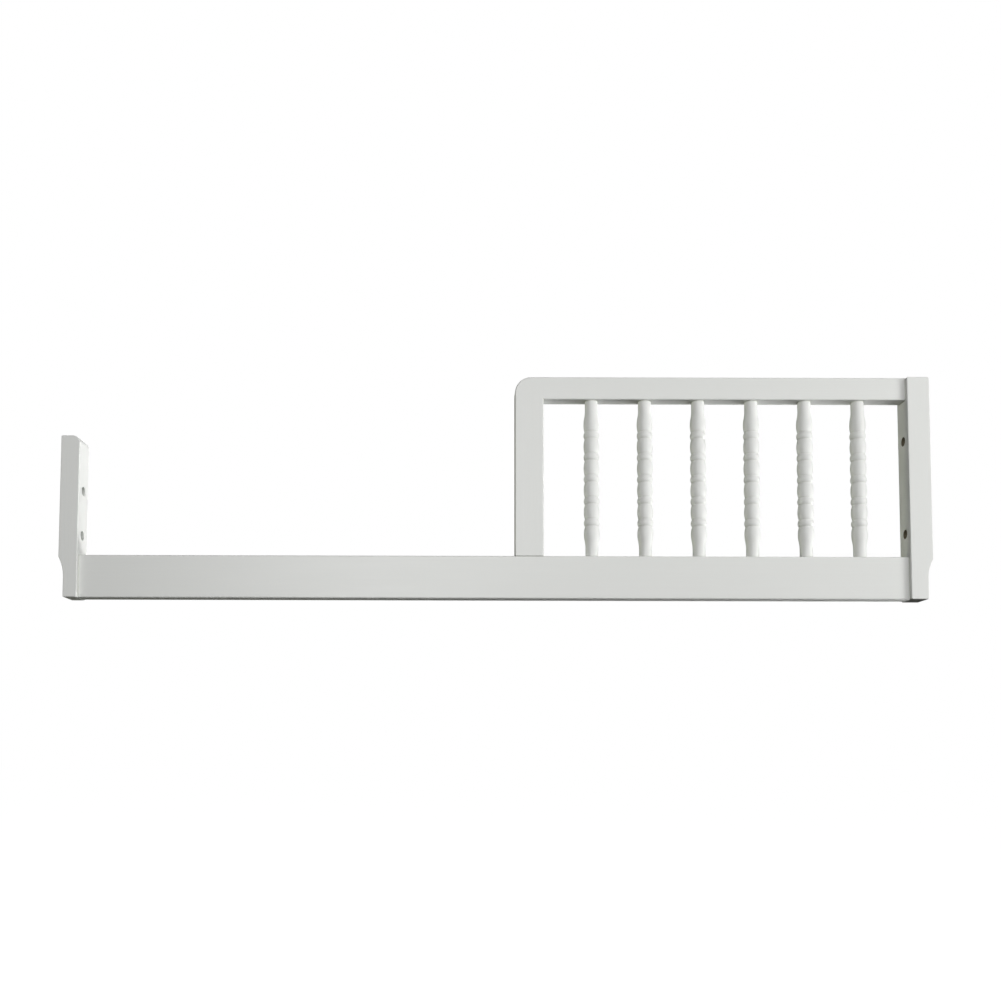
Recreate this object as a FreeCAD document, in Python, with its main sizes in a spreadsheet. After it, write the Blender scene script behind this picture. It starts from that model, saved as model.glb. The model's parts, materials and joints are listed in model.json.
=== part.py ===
import FreeCAD, Part
import math
import os

import Sketcher
from FreeCAD import Placement, Rotation, Vector

# Toddler guard rail that turns a convertible cot into a toddler bed.
#
# Row frame: X along the rail with the guard at the +X end, Y through its depth with the room
# side at -Y, Z up. The origin is midway between the posts' outer faces, in the middle of the
# posts' depth, at the level of the posts' feet. All sizes are in millimetres.

SIZES = [
    ("overall_length", 1330, "between the outer faces of the two posts"),
    ("left_post_width", 28.8, "short post, along X"),
    ("right_post_width", 33.9, "tall post, along X"),
    ("post_depth", 38, "both posts, along Y"),
    ("left_post_height", 249.2, "short post"),
    ("right_post_height", 343.9, "tall post, at the guard"),
    ("left_inner_radius", 12, "short post, rounded top corner towards the gap"),
    ("right_outer_radius", 3, "tall post, top corner away from the guard"),
    ("square_radius", 1.6, "the other top corner of each post"),
    ("post_arris", 1.2, "eased edges of the posts"),
    ("cove_top", 61.5, "foot relief, height of its sharp upper corner"),
    ("cove_foot", 31, "foot relief, height where it runs out into the foot"),
    ("cove_depth", 7.7, "foot relief, how far the foot steps in"),
    ("bolt_radius", 3.5, "clearance hole for an M6 bolt"),
    ("head_radius", 7.25, "counterbore for the bolt's head"),
    ("head_depth", 12, "counterbore depth from the inner face"),
    ("left_bolt_low", 97.5, "short post, lower bolt height"),
    ("left_bolt_high", 166.5, "short post, upper bolt height"),
    ("right_bolt_low", 103, "tall post, lower bolt height"),
    ("right_bolt_high", 248, "tall post, upper bolt height"),
    ("rail_thickness", 25, "both rails and the stile, along Y"),
    ("rail_arris", 2, "rounded edges of the rails and the stile"),
    ("bottom_rail_base", 0.2, "underside of the bottom rail above the feet"),
    ("bottom_rail_height", 65.6, "bottom rail, along Z"),
    ("top_rail_base", 309.5, "underside of the top rail above the feet"),
    ("top_rail_height", 35, "top rail, along Z"),
    ("stile_offset", 694.6, "left post's outer face to the stile"),
    ("stile_width", 44, "stile, along X"),
    ("stile_radius", 25, "rounded outer corner of the guard"),
    ("stile_foot_arris", 1, "eased edges of the stile's foot"),
    ("first_spindle", 813.3, "left post's outer face to the first spindle's axis"),
    ("spindle_pitch", 82.5, "from spindle to spindle"),
    ("spindle_count", 6, "number of spindles"),
    ("belly_radius", 12, "widest radius of the turning"),
    ("groove_radius", 10.3, "radius at the bottom of the grooves"),
    ("neck_radius", 9.7, "plain neck at each end of a spindle"),
    ("ring_pitch", 34.2, "from ring to ring along a spindle"),
    ("ring_height", 11, "one ring, from groove to groove"),
    ("ring_count", 5, "rings on a spindle"),
    ("vase_peak", 17, "outermost ring's middle to the vase's widest point"),
    ("vase_end", 39, "outermost ring's middle to the neck"),
    ("tenon_radius", 6, "round tenon at each end of a spindle"),
    ("tenon_length", 14, "length of that tenon"),
    ("dowel_radius", 4, "dowel pins of the glued joints"),
    ("dowel_length", 36, "length of a dowel pin"),
    ("dowel_chamfer", 1, "chamfered ends of a dowel pin"),
    ("bottom_dowel_inset", 16, "bottom rail's edges to its dowels"),
    ("top_dowel_inset", 9, "top rail's edges to its dowels"),
    ("stile_dowel_inset", 11, "stile's edges to the dowels in its foot"),
    ("glue_gap", 0.1, "around a pin or a tenon in its bore"),
    ("end_gap", 1, "beyond a pin's or a tenon's end"),
]

# Expressions that several pieces share.
LEFT_FACE = "(-Sizes.overall_length / 2)"
RIGHT_FACE = "(Sizes.overall_length / 2)"
BOTTOM_RAIL_TOP = "(Sizes.bottom_rail_base + Sizes.bottom_rail_height)"
TOP_RAIL_TOP = "(Sizes.top_rail_base + Sizes.top_rail_height)"
OPENING = f"(Sizes.top_rail_base - {BOTTOM_RAIL_TOP})"
BOTTOM_RAIL_LENGTH = "(Sizes.overall_length - Sizes.left_post_width - Sizes.right_post_width)"
STILE_EDGE = "(Sizes.stile_offset + Sizes.stile_width)"
TOP_RAIL_LENGTH = f"(Sizes.overall_length - Sizes.right_post_width - {STILE_EDGE})"
STILE_HEIGHT = f"({TOP_RAIL_TOP} - {BOTTOM_RAIL_TOP})"
LOW_BOTTOM_DOWEL = "Sizes.bottom_dowel_inset"
HIGH_BOTTOM_DOWEL = "(Sizes.bottom_rail_height - Sizes.bottom_dowel_inset)"
LOW_TOP_DOWEL = "Sizes.top_dowel_inset"
HIGH_TOP_DOWEL = "(Sizes.top_rail_height - Sizes.top_dowel_inset)"
LEFT_FOOT_DOWEL = "Sizes.stile_dowel_inset"
RIGHT_FOOT_DOWEL = "(Sizes.stile_width - Sizes.stile_dowel_inset)"
DOWEL_BORE = "(Sizes.dowel_radius + Sizes.glue_gap)"
DOWEL_DEPTH = "(Sizes.dowel_length / 2 + Sizes.end_gap)"
SOCKET_BORE = "(Sizes.tenon_radius + Sizes.glue_gap)"
SOCKET_DEPTH = "(Sizes.tenon_length + Sizes.end_gap)"

LENGTHWAYS = Vector(1, 0, 0)
DEPTHWAYS = Vector(0, 1, 0)

doc = FreeCAD.newDocument("guard_rail")
sheet = doc.addObject("Spreadsheet::Sheet", "Sizes")


def fill_sheet():
    """Writes each driving dimension as a plain number with its alias and its meaning."""
    for row, (alias, value, meaning) in enumerate(SIZES, start=1):
        sheet.set(f"A{row}", alias)
        sheet.set(f"B{row}", str(value))
        sheet.setAlias(f"B{row}", alias)
        sheet.set(f"C{row}", meaning)
    doc.recompute()


def size(expression):
    """The present value of an expression over the sheet."""
    return float(sheet.evalExpression(expression))


def new_body(label, x, z, turn=None):
    """An empty body whose origin stands at x, z in the row frame."""
    body = doc.addObject("PartDesign::Body", label)
    body.Label = label
    if turn is not None:
        body.Placement = Placement(Vector(), turn)
    body.setExpression("Placement.Base.x", x)
    body.setExpression("Placement.Base.z", z)
    return body


def new_sketch(body, role, name, offset=None):
    """A sketch on one of the body's own origin planes, or parallel to it at an offset."""
    sketch = body.newObject("Sketcher::SketchObject", name)
    plane = next(item for item in body.Origin.OriginFeatures if item.Role == role)
    sketch.AttachmentSupport = [(plane, "")]
    sketch.MapMode = "FlatFace"
    if offset is not None:
        sketch.setExpression("AttachmentOffset.Base.z", offset)
    return sketch


def constrain(sketch, expression, *constraint):
    """Adds a dimension to a sketch and binds it to an expression."""
    index = sketch.addConstraint(Sketcher.Constraint(*constraint, size(expression)))
    sketch.setExpression(f"Constraints[{index}]", expression)


def pin(sketch, curve, end, x, y):
    """Fixes one point of a curve at two expressions, measured from the sketch's origin."""
    horizontal_axis, vertical_axis = -1, -2
    for kind, expression, axis in (("DistanceX", x, vertical_axis), ("DistanceY", y, horizontal_axis)):
        if expression == "0":
            sketch.addConstraint(Sketcher.Constraint("PointOnObject", curve, end, axis))
        else:
            constrain(sketch, expression, kind, curve, end)


def arc_through(start, finish, radius, bulge):
    """The short arc from start to finish, on the left of its chord where bulge is 1, right at -1."""
    chord = finish - start
    half = chord.Length / 2
    rise = radius - math.sqrt(radius ** 2 - half ** 2)
    leftward = Vector(-chord.y, chord.x, 0).normalize()
    middle = (start + finish) * 0.5 + leftward * rise * bulge
    return Part.Arc(start, middle, finish)


def outline(sketch, corners):
    """Draws a closed outline. Each corner is (x, y) or (x, y, radius, bulge), all expressions
    but the bulge, and the last two describe the arc that leads to the next corner."""
    places = [Vector(size(corner[0]), size(corner[1]), 0) for corner in corners]
    ends = []
    for index, corner in enumerate(corners):
        start = places[index]
        finish = places[(index + 1) % len(corners)]
        if len(corner) == 2:
            curve = sketch.addGeometry(Part.LineSegment(start, finish), False)
            ends.append((curve, 1, 2))
            continue
        radius, bulge = corner[2:]
        curve = sketch.addGeometry(arc_through(start, finish, size(radius), bulge), False)
        runs_forward = sketch.getPoint(curve, 1).distanceToPoint(start) < 1e-6
        ends.append((curve, 1, 2) if runs_forward else (curve, 2, 1))
    for index, (curve, first, last) in enumerate(ends):
        following, its_first, _ = ends[(index + 1) % len(ends)]
        sketch.addConstraint(Sketcher.Constraint("Coincident", curve, last, following, its_first))
        pin(sketch, curve, first, corners[index][0], corners[index][1])
        if len(corners[index]) == 4:
            constrain(sketch, corners[index][2], "Radius", curve)


def rectangle(sketch, x_low, y_low, x_high, y_high):
    """A closed rectangle between two corners given as expressions."""
    outline(sketch, [(x_low, y_low), (x_high, y_low), (x_high, y_high), (x_low, y_high)])


def pad(body, sketch, name, length, both_ways=False):
    """Extrudes a sketch along its normal, or half the length to each side."""
    feature = body.newObject("PartDesign::Pad", name)
    feature.Profile = sketch
    feature.setExpression("Length", length)
    feature.Midplane = both_ways
    doc.recompute()
    return feature


def round_edges(body, base, name, radius, wanted):
    """Rounds the edges of a feature that the test picks out."""
    names = [f"Edge{number}" for number, edge in enumerate(base.Shape.Edges, start=1) if wanted(edge)]
    feature = body.newObject("PartDesign::Fillet", name)
    feature.Base = (base, names)
    feature.setExpression("Radius", radius)
    doc.recompute()
    return feature


def cut(body, sketch, name, depth, along_normal):
    """Pockets a sketch into the body and makes sure that the pocket removed something."""
    before = body.Shape.Volume
    feature = body.newObject("PartDesign::Pocket", name)
    feature.Profile = sketch
    feature.setExpression("Length", depth)
    feature.Reversed = along_normal
    doc.recompute()
    if not body.Shape.Volume < before - 1:
        raise RuntimeError(f"{body.Label}: {name} cuts nothing")
    return feature


def drill(body, role, name, centres, radius, depth, offset=None, along_normal=False):
    """Round blind bores, all of one size, on a plane of the body."""
    sketch = new_sketch(body, role, f"{name}_sketch", offset)
    for x, y in centres:
        circle = Part.Circle(Vector(size(x), size(y), 0), Vector(0, 0, 1), size(radius))
        curve = sketch.addGeometry(circle, False)
        pin(sketch, curve, 3, x, y)
        constrain(sketch, radius, "Radius", curve)
    return cut(body, sketch, name, depth, along_normal)


def along(edge, direction):
    """Whether an edge is straight and runs along a direction."""
    return isinstance(edge.Curve, Part.Line) and abs(abs(edge.Curve.Direction.dot(direction)) - 1) < 1e-6


def round_corners(body, base, name, radius, corners):
    """Rounds edges that run through the depth, each named by where it stands, as x and z."""
    places = [Vector(size(x), 0, size(z)) for x, z in corners]

    def at_corner(edge):
        return along(edge, DEPTHWAYS) and any(
            edge.CenterOfMass.distanceToPoint(place) < 1e-3 for place in places)

    return round_edges(body, base, name, radius, at_corner)


def make_post(label, x, width, height, outer_radius, inner_radius, bolt_heights, turn=None, top_rail=False):
    """An end post. Its own origin is at the foot, on the outer face, and its X points inwards."""
    body = new_body(label, x, "0", turn)
    profile = new_sketch(body, "XZ_Plane", f"{label}_profile")
    cove_rise = "(Sizes.cove_top - Sizes.cove_foot)"
    cove_radius = f"((Sizes.cove_depth ^ 2 + {cove_rise} ^ 2) / (2 * Sizes.cove_depth))"
    outline(profile, [
        ("Sizes.cove_depth", "0"),
        (width, "0"),
        (width, height),
        ("0", height),
        ("0", "Sizes.cove_top", cove_radius, 1),
        ("Sizes.cove_depth", "Sizes.cove_foot"),
    ])
    blank = pad(body, profile, f"{label}_blank", "Sizes.post_depth", both_ways=True)

    inner_top = (width, height)
    outer_top = ("0", height)
    square_corners = [("Sizes.cove_depth", "0"), (width, "0"), ("0", "Sizes.cove_top")]
    shaped = round_corners(body, blank, f"{label}_inner_corner", inner_radius, [inner_top])
    shaped = round_corners(body, shaped, f"{label}_outer_corner", outer_radius, [outer_top])
    shaped = round_corners(body, shaped, f"{label}_corners", "Sizes.square_radius", square_corners)

    half_depth = size("Sizes.post_depth") / 2
    round_edges(
        body, shaped, f"{label}_arris", "Sizes.post_arris",
        lambda edge: all(abs(abs(vertex.Y) - half_depth) < 1e-6 for vertex in edge.Vertexes)
        and not along(edge, DEPTHWAYS),
    )

    seats = new_sketch(body, "YZ_Plane", f"{label}_bolt_sketch", width)
    for bolt_height in bolt_heights:
        circle = Part.Circle(Vector(0, size(bolt_height), 0), Vector(0, 0, 1), size("Sizes.bolt_radius"))
        curve = seats.addGeometry(circle, False)
        pin(seats, curve, 3, "0", bolt_height)
        constrain(seats, "Sizes.bolt_radius", "Radius", curve)
    doc.recompute()
    bolts = body.newObject("PartDesign::Hole", f"{label}_bolt_holes")
    bolts.Profile = seats
    bolts.setExpression("Diameter", "2 * Sizes.bolt_radius")
    bolts.DepthType = "ThroughAll"
    bolts.HoleCutType = "Counterbore"
    bolts.HoleCutCustomValues = True
    bolts.setExpression("HoleCutDiameter", "2 * Sizes.head_radius")
    bolts.setExpression("HoleCutDepth", "Sizes.head_depth")
    doc.recompute()

    dowels = [("0", f"Sizes.bottom_rail_base + {LOW_BOTTOM_DOWEL}"),
              ("0", f"Sizes.bottom_rail_base + {HIGH_BOTTOM_DOWEL}")]
    if top_rail:
        dowels += [("0", f"Sizes.top_rail_base + {LOW_TOP_DOWEL}"),
                   ("0", f"Sizes.top_rail_base + {HIGH_TOP_DOWEL}")]
    drill(body, "YZ_Plane", f"{label}_dowel_bores", dowels, DOWEL_BORE, DOWEL_DEPTH, width)
    return body


def make_rail(label, x, z, length, height, dowel_heights, spindle_start, spindle_face, bore_up):
    """A rail. Its own origin is at its left end, at its underside, in the middle of its depth."""
    body = new_body(label, x, z)
    section = new_sketch(body, "YZ_Plane", f"{label}_section")
    rectangle(section, "-Sizes.rail_thickness / 2", "0", "Sizes.rail_thickness / 2", height)
    blank = pad(body, section, f"{label}_blank", length)
    round_edges(body, blank, f"{label}_arris", "Sizes.rail_arris",
                lambda edge: along(edge, LENGTHWAYS))

    ends = [("0", dowel_height) for dowel_height in dowel_heights]
    drill(body, "YZ_Plane", f"{label}_left_bores", ends, DOWEL_BORE, DOWEL_DEPTH, along_normal=True)
    drill(body, "YZ_Plane", f"{label}_right_bores", ends, DOWEL_BORE, DOWEL_DEPTH, length)

    socket = drill(body, "XY_Plane", f"{label}_socket", [(spindle_start, "0")], SOCKET_BORE,
                   SOCKET_DEPTH, spindle_face, bore_up)
    sockets = body.newObject("PartDesign::LinearPattern", f"{label}_sockets")
    sockets.Originals = [socket]
    sockets.Direction = (socket.Profile[0], ["H_Axis"])
    sockets.setExpression("Occurrences", "Sizes.spindle_count")
    sockets.setExpression("Length", "Sizes.spindle_pitch * (Sizes.spindle_count - 1)")
    body.Tip = sockets
    doc.recompute()
    return body


def make_stile():
    """The guard's upright. Its own origin is at its left edge, at its foot."""
    body = new_body("guard_stile", f"{LEFT_FACE} + Sizes.stile_offset", BOTTOM_RAIL_TOP)
    profile = new_sketch(body, "XZ_Plane", "stile_profile")
    outline(profile, [
        ("0", "0"),
        ("Sizes.stile_width", "0"),
        ("Sizes.stile_width", STILE_HEIGHT),
        ("Sizes.stile_radius", STILE_HEIGHT, "Sizes.stile_radius", -1),
        ("0", f"{STILE_HEIGHT} - Sizes.stile_radius"),
    ])
    blank = pad(body, profile, "stile_blank", "Sizes.rail_thickness", both_ways=True)

    half_depth = size("Sizes.rail_thickness") / 2
    width = size("Sizes.stile_width")

    def on_outer_outline(edge):
        """The left edge, the rounded corner and the top edge, at the front and at the back."""
        at_face = all(abs(abs(vertex.Y) - half_depth) < 1e-6 for vertex in edge.Vertexes)
        middle = edge.CenterOfMass
        return at_face and middle.z > 1 and middle.x < width - 1 and not along(edge, DEPTHWAYS)

    outer = round_edges(body, blank, "stile_outer_arris", "Sizes.rail_arris", on_outer_outline)
    round_edges(body, outer, "stile_foot_arris", "Sizes.stile_foot_arris",
                lambda edge: abs(edge.CenterOfMass.z) < 1e-6 and along(edge, LENGTHWAYS))

    # The inner edge is rounded only up to the top rail, which meets the stile flush.
    section = new_sketch(body, "XY_Plane", "stile_inner_arris_sketch")
    edge = "Sizes.stile_width"
    face = "Sizes.rail_thickness / 2"
    inner_edge = "Sizes.stile_width - Sizes.rail_arris"
    inner_face = "Sizes.rail_thickness / 2 - Sizes.rail_arris"
    outline(section, [(edge, inner_face, "Sizes.rail_arris", -1), (inner_edge, face), (edge, face)])
    outline(section, [(inner_edge, f"-({face})", "Sizes.rail_arris", -1),
                      (edge, f"-({inner_face})"), (edge, f"-({face})")])
    cut(body, section, "stile_inner_arris", f"{OPENING} + Sizes.rail_arris", along_normal=True)

    drill(body, "XY_Plane", "stile_foot_bores", [(LEFT_FOOT_DOWEL, "0"), (RIGHT_FOOT_DOWEL, "0")],
          DOWEL_BORE, DOWEL_DEPTH, along_normal=True)
    head = [("0", f"{OPENING} + {LOW_TOP_DOWEL}"), ("0", f"{OPENING} + {HIGH_TOP_DOWEL}")]
    drill(body, "YZ_Plane", "stile_head_bores", head, DOWEL_BORE, DOWEL_DEPTH, "Sizes.stile_width")
    return body


def make_spindle(number):
    """One turned spindle. Its own origin is on its axis, at the bottom rail's upper face."""
    along_rail = f"{LEFT_FACE} + Sizes.first_spindle + {number - 1} * Sizes.spindle_pitch"
    body = new_body(f"spindle_{number}", along_rail, BOTTOM_RAIL_TOP)
    middle = f"({OPENING} / 2)"
    outer_ring = "((Sizes.ring_count - 1) / 2 * Sizes.ring_pitch)"
    relief = "(Sizes.belly_radius - Sizes.groove_radius)"
    taper = "(Sizes.belly_radius - Sizes.neck_radius)"
    peak_rise = "(Sizes.vase_peak - Sizes.ring_height / 2)"
    taper_rise = "(Sizes.vase_end - Sizes.vase_peak)"
    ring_arc = f"(({relief} ^ 2 + (Sizes.ring_height / 2) ^ 2) / (2 * {relief}))"
    barrel_half = "((Sizes.ring_pitch - Sizes.ring_height) / 2)"
    barrel_arc = f"(({relief} ^ 2 + {barrel_half} ^ 2) / (2 * {relief}))"
    vase_arc = f"(({relief} ^ 2 + {peak_rise} ^ 2) / (2 * {relief}))"
    taper_arc = f"((({taper} / 2) ^ 2 + ({taper_rise} / 2) ^ 2) / {taper})"
    half_taper = f"(Sizes.neck_radius + {taper} / 2)"

    def height(sign, distance):
        """A height along the spindle, from its middle."""
        return f"{middle} {sign} ({distance})"

    corners = [
        ("0", "-Sizes.tenon_length"),
        ("Sizes.tenon_radius", "-Sizes.tenon_length"),
        ("Sizes.tenon_radius", "0"),
        ("Sizes.neck_radius", "0"),
        ("Sizes.neck_radius", height("-", f"{outer_ring} + Sizes.vase_end"), taper_arc, 1),
        (half_taper, height("-", f"{outer_ring} + (Sizes.vase_end + Sizes.vase_peak) / 2"), taper_arc, -1),
        ("Sizes.belly_radius", height("-", f"{outer_ring} + Sizes.vase_peak"), vase_arc, -1),
    ]
    ring_count = int(size("Sizes.ring_count"))
    for ring in range(ring_count):
        centre = f"({ring} - (Sizes.ring_count - 1) / 2) * Sizes.ring_pitch"
        corners.append(("Sizes.groove_radius", f"{middle} + {centre} - Sizes.ring_height / 2", ring_arc, -1))
        groove = ("Sizes.groove_radius", f"{middle} + {centre} + Sizes.ring_height / 2")
        last = ring == ring_count - 1
        corners.append(groove + (vase_arc if last else barrel_arc, -1))
    corners += [
        ("Sizes.belly_radius", height("+", f"{outer_ring} + Sizes.vase_peak"), taper_arc, -1),
        (half_taper, height("+", f"{outer_ring} + (Sizes.vase_end + Sizes.vase_peak) / 2"), taper_arc, 1),
        ("Sizes.neck_radius", height("+", f"{outer_ring} + Sizes.vase_end")),
        ("Sizes.neck_radius", OPENING),
        ("Sizes.tenon_radius", OPENING),
        ("Sizes.tenon_radius", f"{OPENING} + Sizes.tenon_length"),
        ("0", f"{OPENING} + Sizes.tenon_length"),
    ]
    profile = new_sketch(body, "XZ_Plane", f"spindle_{number}_profile")
    outline(profile, corners)
    turning = body.newObject("PartDesign::Revolution", f"spindle_{number}_turning")
    turning.Profile = profile
    turning.ReferenceAxis = (profile, ["V_Axis"])
    turning.Angle = 360
    doc.recompute()
    return body


def make_dowel(label, x, z, lying):
    """A dowel pin centred on x, z, with chamfered ends, upright or lying along X."""
    turn = Rotation(Vector(0, 1, 0), 90) if lying else None
    body = new_body(label, x, z, turn)
    section = new_sketch(body, "XY_Plane", f"{label}_section")
    curve = section.addGeometry(Part.Circle(Vector(), Vector(0, 0, 1), size("Sizes.dowel_radius")), False)
    section.addConstraint(Sketcher.Constraint("Coincident", curve, 3, -1, 1))
    constrain(section, "Sizes.dowel_radius", "Radius", curve)
    blank = pad(body, section, f"{label}_blank", "Sizes.dowel_length", both_ways=True)
    ends = [f"Edge{number}" for number, edge in enumerate(blank.Shape.Edges, start=1)
            if isinstance(edge.Curve, Part.Circle)]
    chamfer = body.newObject("PartDesign::Chamfer", f"{label}_chamfer")
    chamfer.Base = (blank, ends)
    chamfer.setExpression("Size", "Sizes.dowel_chamfer")
    doc.recompute()
    return body


def make_dowels():
    """The pins of the five glued joints, two pins in each."""
    left_joint = f"{LEFT_FACE} + Sizes.left_post_width"
    right_joint = f"{RIGHT_FACE} - Sizes.right_post_width"
    stile_joint = f"{LEFT_FACE} + {STILE_EDGE}"
    stile_left = f"{LEFT_FACE} + Sizes.stile_offset"
    low_bottom = f"Sizes.bottom_rail_base + {LOW_BOTTOM_DOWEL}"
    high_bottom = f"Sizes.bottom_rail_base + {HIGH_BOTTOM_DOWEL}"
    low_top = f"Sizes.top_rail_base + {LOW_TOP_DOWEL}"
    high_top = f"Sizes.top_rail_base + {HIGH_TOP_DOWEL}"
    return [
        make_dowel("dowel_left_post_lower", left_joint, low_bottom, True),
        make_dowel("dowel_left_post_upper", left_joint, high_bottom, True),
        make_dowel("dowel_right_post_lower", right_joint, low_bottom, True),
        make_dowel("dowel_right_post_upper", right_joint, high_bottom, True),
        make_dowel("dowel_stile_foot_left", f"{stile_left} + {LEFT_FOOT_DOWEL}", BOTTOM_RAIL_TOP, False),
        make_dowel("dowel_stile_foot_right", f"{stile_left} + {RIGHT_FOOT_DOWEL}", BOTTOM_RAIL_TOP, False),
        make_dowel("dowel_stile_head_lower", stile_joint, low_top, True),
        make_dowel("dowel_stile_head_upper", stile_joint, high_top, True),
        make_dowel("dowel_top_rail_end_lower", right_joint, low_top, True),
        make_dowel("dowel_top_rail_end_upper", right_joint, high_top, True),
    ]


def make_bottom_rail():
    """The long rail, with the guard's sockets and the stile's dowel bores in its upper face."""
    body = make_rail(
        "bottom_rail", f"{LEFT_FACE} + Sizes.left_post_width", "Sizes.bottom_rail_base",
        BOTTOM_RAIL_LENGTH, "Sizes.bottom_rail_height", (LOW_BOTTOM_DOWEL, HIGH_BOTTOM_DOWEL),
        "Sizes.first_spindle - Sizes.left_post_width", "Sizes.bottom_rail_height", False,
    )
    stile_left = "Sizes.stile_offset - Sizes.left_post_width"
    drill(body, "XY_Plane", "bottom_rail_stile_bores",
          [(f"{stile_left} + {LEFT_FOOT_DOWEL}", "0"), (f"{stile_left} + {RIGHT_FOOT_DOWEL}", "0")],
          DOWEL_BORE, DOWEL_DEPTH, "Sizes.bottom_rail_height")
    return body


def make_top_rail():
    """The guard's top rail, with the spindles' sockets in its underside."""
    return make_rail(
        "top_rail", f"{LEFT_FACE} + {STILE_EDGE}", "Sizes.top_rail_base",
        TOP_RAIL_LENGTH, "Sizes.top_rail_height", (LOW_TOP_DOWEL, HIGH_TOP_DOWEL),
        f"Sizes.first_spindle - {STILE_EDGE}", None, True,
    )


def make_pieces():
    """Every sub-part of the rail, in the order that they are assembled."""
    pieces = [
        make_post("left_post", LEFT_FACE, "Sizes.left_post_width", "Sizes.left_post_height",
                  "Sizes.square_radius", "Sizes.left_inner_radius",
                  ("Sizes.left_bolt_low", "Sizes.left_bolt_high")),
        make_post("right_post", RIGHT_FACE, "Sizes.right_post_width", "Sizes.right_post_height",
                  "Sizes.right_outer_radius", "Sizes.square_radius",
                  ("Sizes.right_bolt_low", "Sizes.right_bolt_high"),
                  Rotation(Vector(0, 0, 1), 180), top_rail=True),
        make_bottom_rail(),
        make_top_rail(),
        make_stile(),
    ]
    pieces += [make_spindle(number) for number in range(1, int(size("Sizes.spindle_count")) + 1)]
    pieces += make_dowels()
    return pieces


def check(pieces):
    """Stops before anything is written if an object failed or a piece isn't one sound solid."""
    for item in doc.Objects:
        if "Invalid" in item.State or "Error" in item.State:
            raise RuntimeError(f"{item.Label} failed: {item.State}")
    for piece in pieces:
        shape = piece.Shape
        if shape.isNull() or not shape.isValid() or len(shape.Solids) != 1:
            raise RuntimeError(f"{piece.Label} isn't one valid solid")


def write(pieces):
    """Writes each piece to its own STEP file."""
    os.makedirs("parts", exist_ok=True)
    for piece in pieces:
        piece.Shape.exportStep(f"parts/{piece.Label}.step")


fill_sheet()
all_pieces = make_pieces()
doc.recompute()
check(all_pieces)
write(all_pieces)
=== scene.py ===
"""Looks of the toddler guard rail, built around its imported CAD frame. Lengths are in metres."""

import json
import math

import bpy
from mathutils import Matrix, Vector


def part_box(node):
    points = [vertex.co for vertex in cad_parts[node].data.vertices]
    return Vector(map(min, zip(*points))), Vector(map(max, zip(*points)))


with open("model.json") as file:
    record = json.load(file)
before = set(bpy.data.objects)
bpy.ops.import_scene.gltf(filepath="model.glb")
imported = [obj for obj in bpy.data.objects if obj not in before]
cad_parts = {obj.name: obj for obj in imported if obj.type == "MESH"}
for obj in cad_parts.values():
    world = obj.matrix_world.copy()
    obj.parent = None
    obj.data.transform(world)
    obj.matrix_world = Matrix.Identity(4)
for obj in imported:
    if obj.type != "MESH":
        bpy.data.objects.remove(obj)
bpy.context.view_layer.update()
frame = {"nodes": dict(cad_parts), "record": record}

# The eye is below the rail's feet, square to it, and looks slightly up. Angles are in radians.
EYE = (-0.0448, -1.5573, -0.2325)
EYE_PITCH = 0.0596
EYE_ROLL = 0.0026
FOCAL_LENGTH = 36.761
LENS_SHIFT = (0.0345, 0.1898)

MM_PER_M = 1000.0

# Softboxes stand round the middle of the rail. Each is a bearing from the front towards the
# guard's end and a height, both in degrees, a distance, a width, a power in watts and a tint.
WHITE = (1.0, 1.0, 1.0)
OLIVE = (0.95, 1.0, 0.7)
STUDIO_CENTRE = Vector((0.0, 0.0, 0.15))
SOFTBOXES = {
    "key_light": (65, 0, 4.0, 1.0, 60, WHITE),
    "wide_light": (40, -10, 2.4, 2.0, 15, WHITE),
    "front_light": (-10, 10, 2.4, 0.7, 25, WHITE),
    "high_light": (60, 35, 2.4, 0.7, 10, WHITE),
    "guard_end_light": (100, -10, 2.4, 0.7, 40, WHITE),
    "low_side_light": (120, -35, 2.4, 0.7, 30, WHITE),
    "left_fill": (-110, -10, 2.4, 0.7, 12, OLIVE),
    "back_light": (155, 25, 2.4, 0.7, 12, WHITE),
}
# These two would wash out the end face of the post beside them, so they are kept off it.
END_LIGHTS = ("guard_end_light", "low_side_light")

FLOOR_LEVEL = -1.2
FLOOR_HALF = 60.0
FLOOR_COLOUR = (0.9, 0.9, 0.9, 1.0)
FLOOR_ROUGHNESS = 0.9
FLOOR_GLOW = 1.0
SURROUND = (1.0, 1.0, 1.0, 1.0)

PAINT = (0.78, 0.79, 0.765)
# Painted shade: a darker, olive paint colour laid into joints and crevices by an occlusion mask, standing
# in for the shade there.
PAINTED_JOINT_SHADE = (0.42, 0.43, 0.35)
THICK_PAINT_TONE = 0.93
STREAK_TONE = 0.90
CLOUD_BLEND = 0.30
STREAK_BLEND = 0.22
PAINT_ROUGHNESS = (0.36, 0.50)
CREVICE_REACH = 0.0024

# How fine each pattern is across the grain and along it, in steps per metre.
FIBRE_FINENESS = (420.0, 9.0)
CLOUD_FINENESS = (16.0, 4.0)
SPRAY_FINENESS = (650.0, 650.0)
BEECH_FIBRE_FINENESS = (900.0, 60.0)
BEECH_FLECK_FINENESS = (700.0, 180.0)

# Added to a place, the offset measures it from the pith. The wave repeats every 0.314 at scale 1.
PITH_OFFSET = (0.31, 0.27, 0.19)
RING_SPACING = 0.0045
WAVE_REPEAT = 0.314
RING_WANDER = 6.0

RING_RELIEF = 0.000025
FIBRE_RELIEF = 0.00007
SPRAY_RELIEF = 0.00003
BEECH_RELIEF = 0.00008

BEECH_LIGHT = (0.66, 0.46, 0.30)
BEECH_DARK = (0.52, 0.33, 0.19)
BEECH_ROUGHNESS = 0.7
FLECK_BLEND = 0.35

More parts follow.
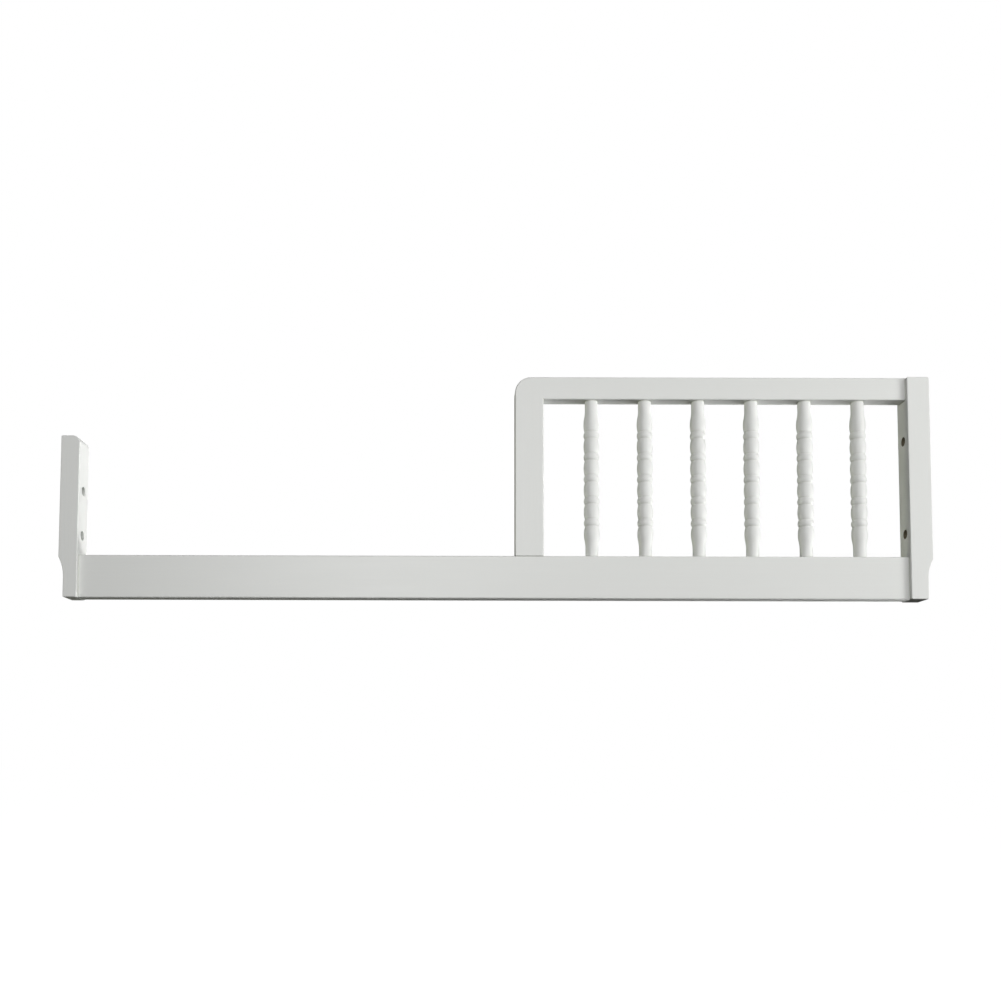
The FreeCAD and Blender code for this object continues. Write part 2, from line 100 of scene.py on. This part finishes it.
# Painted shade: a dark colour lines the bolt holes of the guard's end post, from just inside its two faces,
# standing in for the shade inside them.
PAINTED_BORE_SHADE = (0.16, 0.14, 0.09)
COUNTERBORE_RADIUS = 0.0074
BORE_MOUTH = 0.0004


def add_node(tree, kind, inputs=(), **settings):
    """Adds a shader node, sets its settings, and sets or links its inputs, given by name or number."""
    node = tree.nodes.new("ShaderNode" + kind)
    for name, value in settings.items():
        setattr(node, name, value)
    for name, value in dict(inputs).items():
        if isinstance(value, bpy.types.NodeSocket):
            tree.links.new(value, node.inputs[name])
        else:
            node.inputs[name].default_value = value
    return node


def along_grain(tree, grain, across, lengthwise):
    """The place in the row frame, scaled by one factor across the grain and another along it."""
    scale = [lengthwise if axis == grain else across for axis in "XYZ"]
    place = add_node(tree, "TexCoord").outputs["Object"]
    return add_node(tree, "Mapping", {"Vector": place, "Scale": scale}).outputs["Vector"]


def scaled(tree, value, low, high):
    """A value from 0 to 1, brought into another range."""
    return add_node(tree, "MapRange", {"Value": value, "To Min": low, "To Max": high}).outputs["Result"]


def blended(tree, factor, first, second):
    """A colour between two others."""
    node = add_node(tree, "Mix", {"Factor": factor}, data_type="RGBA")
    for name, colour in (("A", first), ("B", second)):
        socket = next(item for item in node.inputs if item.name == name and item.type == "RGBA")
        if isinstance(colour, bpy.types.NodeSocket):
            tree.links.new(colour, socket)
        else:
            socket.default_value = (*colour, 1.0)
    return next(item for item in node.outputs if item.type == "RGBA")


def growth_rings(tree, grain, pith, wander):
    """Growth rings round a pith that runs along the grain, so end grain shows them as arcs."""
    place = add_node(tree, "TexCoord").outputs["Object"]
    from_pith = add_node(tree, "Mapping", {"Vector": place, "Location": pith}).outputs["Vector"]
    rings = add_node(
        tree, "TexWave",
        {"Vector": from_pith, "Scale": WAVE_REPEAT / RING_SPACING, "Distortion": wander, "Detail": 3.0,
         "Detail Scale": 0.35},
        wave_type="RINGS", rings_direction=grain, wave_profile="SAW",
    )
    return rings.outputs["Fac"]


def raised(tree, height, depth, below=None):
    """A bump of a real depth over another bump."""
    inputs = {"Height": height, "Strength": 1.0, "Distance": depth}
    if below is not None:
        inputs["Normal"] = below
    return add_node(tree, "Bump", inputs).outputs["Normal"]


def worked_out(tree, operation, *values):
    """The result of a sum, a product, a comparison or the like."""
    return add_node(tree, "Math", enumerate(values), operation=operation).outputs["Value"]


def bore_shade_mask(tree, bolts, post):
    """1 inside the bolt holes of the post at the guard's end, where shade is painted, and 0 elsewhere."""
    place = add_node(tree, "TexCoord").outputs["Object"]
    along, across, height = add_node(tree, "SeparateXYZ", {"Vector": place}).outputs
    half_spacing = bolts["dims"]["spacing_y_mm"] / MM_PER_M / 2
    from_middle = worked_out(tree, "ABSOLUTE", worked_out(tree, "SUBTRACT", height, bolts["pos_m"][2]))
    from_hole = worked_out(tree, "SUBTRACT", from_middle, half_spacing)
    squares = [
        worked_out(tree, "POWER", worked_out(tree, "ABSOLUTE", part), 2.0)
        for part in (across, from_hole)
    ]
    near_axis = worked_out(tree, "LESS_THAN", worked_out(tree, "ADD", *squares), COUNTERBORE_RADIUS ** 2)
    inner_face, outer_face = (corner[0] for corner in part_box(post))
    below_inner = worked_out(tree, "GREATER_THAN", along, inner_face + BORE_MOUTH)
    below_outer = worked_out(tree, "LESS_THAN", along, outer_face - BORE_MOUTH)
    return worked_out(tree, "MULTIPLY", near_axis, worked_out(tree, "MULTIPLY", below_inner, below_outer))


def painted_wood(grain):
    """Satin sprayed paint over faint rings and grain, with painted shade in crevices and inside the bores.
    """
    material = bpy.data.materials.new(f"painted_wood_{grain.lower()}")
    material.use_nodes = True
    tree = material.node_tree
    shader = tree.nodes["Principled BSDF"]

    fibres = add_node(tree, "TexNoise", {
        "Vector": along_grain(tree, grain, *FIBRE_FINENESS), "Scale": 1.0, "Detail": 5.0, "Roughness": 0.62,
    }).outputs["Fac"]
    clouds = add_node(tree, "TexNoise", {
        "Vector": along_grain(tree, grain, *CLOUD_FINENESS), "Scale": 1.0, "Detail": 3.0,
    }).outputs["Fac"]
    spray = add_node(tree, "TexNoise", {
        "Vector": along_grain(tree, grain, *SPRAY_FINENESS), "Scale": 1.0, "Detail": 2.0,
    }).outputs["Fac"]
    rings = growth_rings(tree, grain, PITH_OFFSET, RING_WANDER)
    painted_crevice_shade = add_node(tree, "AmbientOcclusion", {"Distance": CREVICE_REACH}, samples=6).outputs["AO"]

    thick_paint = tuple(THICK_PAINT_TONE * part for part in PAINT)
    streak_paint = tuple(STREAK_TONE * part for part in PAINT)
    thick = blended(tree, scaled(tree, clouds, 0.0, CLOUD_BLEND), PAINT, thick_paint)
    streaked = blended(tree, scaled(tree, fibres, 0.0, STREAK_BLEND), thick, streak_paint)
    # Painted shade: the paint turns darker and olive where occlusion finds a joint or crevice.
    paint = blended(tree, painted_crevice_shade, PAINTED_JOINT_SHADE, streaked)
    bolts = next(mount for mount in frame["record"]["mounts"] if mount["name"] == "right_post_bolts")
    # Painted shade: the end post's bolt holes take a dark colour for the shade inside them.
    colour = blended(tree, bore_shade_mask(tree, bolts, "right_post"), paint, PAINTED_BORE_SHADE)
    tree.links.new(colour, shader.inputs["Base Color"])
    tree.links.new(scaled(tree, fibres, *PAINT_ROUGHNESS), shader.inputs["Roughness"])

    shape = raised(tree, rings, RING_RELIEF)
    shape = raised(tree, fibres, FIBRE_RELIEF, shape)
    shape = raised(tree, spray, SPRAY_RELIEF, shape)
    tree.links.new(shape, shader.inputs["Normal"])
    return material


def bare_beech():
    """Unfinished beech for the dowel pins: pink-brown, with short dark flecks."""
    material = bpy.data.materials.new("bare_beech")
    material.use_nodes = True
    tree = material.node_tree
    shader = tree.nodes["Principled BSDF"]
    shader.inputs["Roughness"].default_value = BEECH_ROUGHNESS
    fibres = add_node(tree, "TexNoise", {
        "Vector": along_grain(tree, "X", *BEECH_FIBRE_FINENESS), "Scale": 1.0, "Detail": 4.0,
    }).outputs["Fac"]
    flecks = add_node(tree, "TexVoronoi", {
        "Vector": along_grain(tree, "X", *BEECH_FLECK_FINENESS), "Scale": 1.0,
    }).outputs["Distance"]
    wood = blended(tree, fibres, BEECH_LIGHT, BEECH_DARK)
    colour = blended(tree, scaled(tree, flecks, FLECK_BLEND, 0.0), wood, BEECH_DARK)
    tree.links.new(colour, shader.inputs["Base Color"])
    tree.links.new(raised(tree, fibres, BEECH_RELIEF), shader.inputs["Normal"])
    return material


def dress_frame():
    """Gives every CAD node its material, with the grain along the piece."""
    lengthways = painted_wood("X")
    upright = painted_wood("Z")
    beech = bare_beech()
    for name, node in frame["nodes"].items():
        material = upright
        if name.endswith("rail"):
            material = lengthways
        if name.startswith("dowel"):
            material = beech
        node.data.materials.clear()
        node.data.materials.append(material)


def make_camera():
    """The camera, turned by pitch and roll from level along +Y."""
    data = bpy.data.cameras.new("camera")
    data.lens = FOCAL_LENGTH
    data.shift_x, data.shift_y = LENS_SHIFT
    camera = bpy.data.objects.new("camera", data)
    camera.matrix_world = (
        Matrix.Translation(EYE)
        @ Matrix.Rotation(math.pi / 2 + EYE_PITCH, 4, "X")
        @ Matrix.Rotation(EYE_ROLL, 4, "Z")
    )
    bpy.context.scene.collection.objects.link(camera)
    bpy.context.scene.camera = camera


def make_softbox(name, bearing, height, distance, width, power, tint):
    """A square area light that faces the middle of the rail."""
    bearing = math.radians(bearing)
    height = math.radians(height)
    outwards = Vector((
        math.sin(bearing) * math.cos(height),
        -math.cos(bearing) * math.cos(height),
        math.sin(height),
    ))
    data = bpy.data.lights.new(name, "AREA")
    data.size = width
    data.energy = power
    data.color = tint
    light = bpy.data.objects.new(name, data)
    light.location = STUDIO_CENTRE + outwards * distance
    light.rotation_mode = "QUATERNION"
    light.rotation_quaternion = outwards.to_track_quat("Z", "Y")
    bpy.context.scene.collection.objects.link(light)
    return light


def screen_end_face(lights):
    """Keeps the lights beside the guard's end off the post that stands nearest to them."""
    screened = bpy.data.collections.new("screened_from_end_lights")
    screened.objects.link(frame["nodes"]["right_post"])
    screened.collection_objects[0].light_linking.link_state = "EXCLUDE"
    for light in lights:
        light.light_linking.receiver_collection = screened


def make_surroundings():
    """A white surround and a glowing pale floor far below the rail, both only seen by the camera."""
    world = bpy.data.worlds.new("surround")
    world.use_nodes = True
    background = world.node_tree.nodes["Background"]
    background.inputs["Color"].default_value = SURROUND
    world.cycles_visibility.diffuse = False
    world.cycles_visibility.glossy = False
    bpy.context.scene.world = world
    bpy.context.scene.view_settings.view_transform = "Standard"

    corners = [
        (x * FLOOR_HALF, y * FLOOR_HALF, FLOOR_LEVEL)
        for x, y in ((-1, -1), (1, -1), (1, 1), (-1, 1))
    ]
    mesh = bpy.data.meshes.new("floor")
    mesh.from_pydata(corners, [], [(0, 1, 2, 3)])
    floor = bpy.data.objects.new("floor", mesh)
    bpy.context.scene.collection.objects.link(floor)
    material = bpy.data.materials.new("pale_floor")
    material.use_nodes = True
    shader = material.node_tree.nodes["Principled BSDF"]
    shader.inputs["Base Color"].default_value = FLOOR_COLOUR
    shader.inputs["Roughness"].default_value = FLOOR_ROUGHNESS
    shader.inputs["Emission Color"].default_value = SURROUND
    shader.inputs["Emission Strength"].default_value = FLOOR_GLOW
    mesh.materials.append(material)
    floor.visible_diffuse = False
    floor.visible_glossy = False


make_camera()
make_surroundings()
softboxes = {name: make_softbox(name, *settings) for name, settings in SOFTBOXES.items()}
screen_end_face([softboxes[name] for name in END_LIGHTS])
dress_frame()
